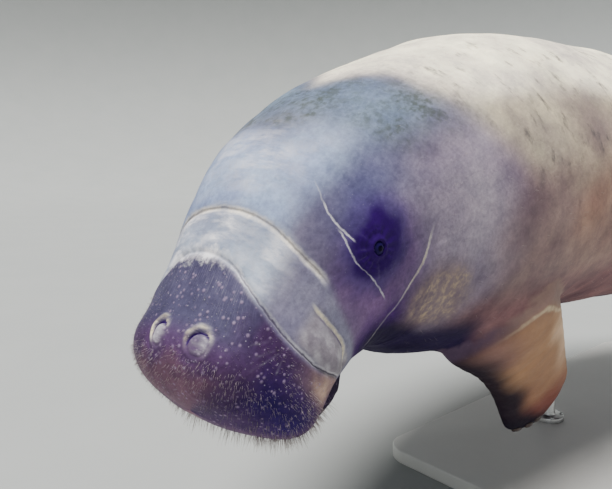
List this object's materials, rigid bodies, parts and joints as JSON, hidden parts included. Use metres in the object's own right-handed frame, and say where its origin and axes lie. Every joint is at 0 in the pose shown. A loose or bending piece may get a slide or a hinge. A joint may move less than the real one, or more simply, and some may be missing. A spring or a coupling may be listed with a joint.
{
  "type": "manatee display model",
  "caption": "Still, life-size manatee in a slow swim with its head turned and lowered, flippers hanging and tail paddle level, held by a plain display stand.",
  "frame": {"origin": "centre of the underside of the stand's base", "axes": "the animal faces -Y with its left side towards +X and its back towards +Z"},
  "size_m": [0.7592, 2.8713, 0.9216],
  "materials": {
    "skin": "matte, wrinkled grey-mauve skin with paler folds, whitish flecks and brown algae on the back",
    "eye": "wet dark brown, nearly black",
    "nail": "smooth horn, slightly glossy",
    "stand_base": "satin off-white paint",
    "stand_rod": "brushed"
  },
  "bodies": {
    "root": {"head": "skin", "lower_jaw": "skin", "neck": "skin", "chest": "skin", "torso": "skin", "tail_stock": "skin", "tail_paddle": "skin", "flipper_left": "skin", "flipper_right": "skin", "eye_left": "eye", "eye_right": "eye", "nail_left_1": "nail", "nail_left_2": "nail", "nail_left_3": "nail", "nail_right_1": "nail", "nail_right_2": "nail", "nail_right_3": "nail", "stand_base": "stand_base", "stand_rod_front": "stand_rod", "stand_rod_rear": "stand_rod"}
  },
  "joints": []
}
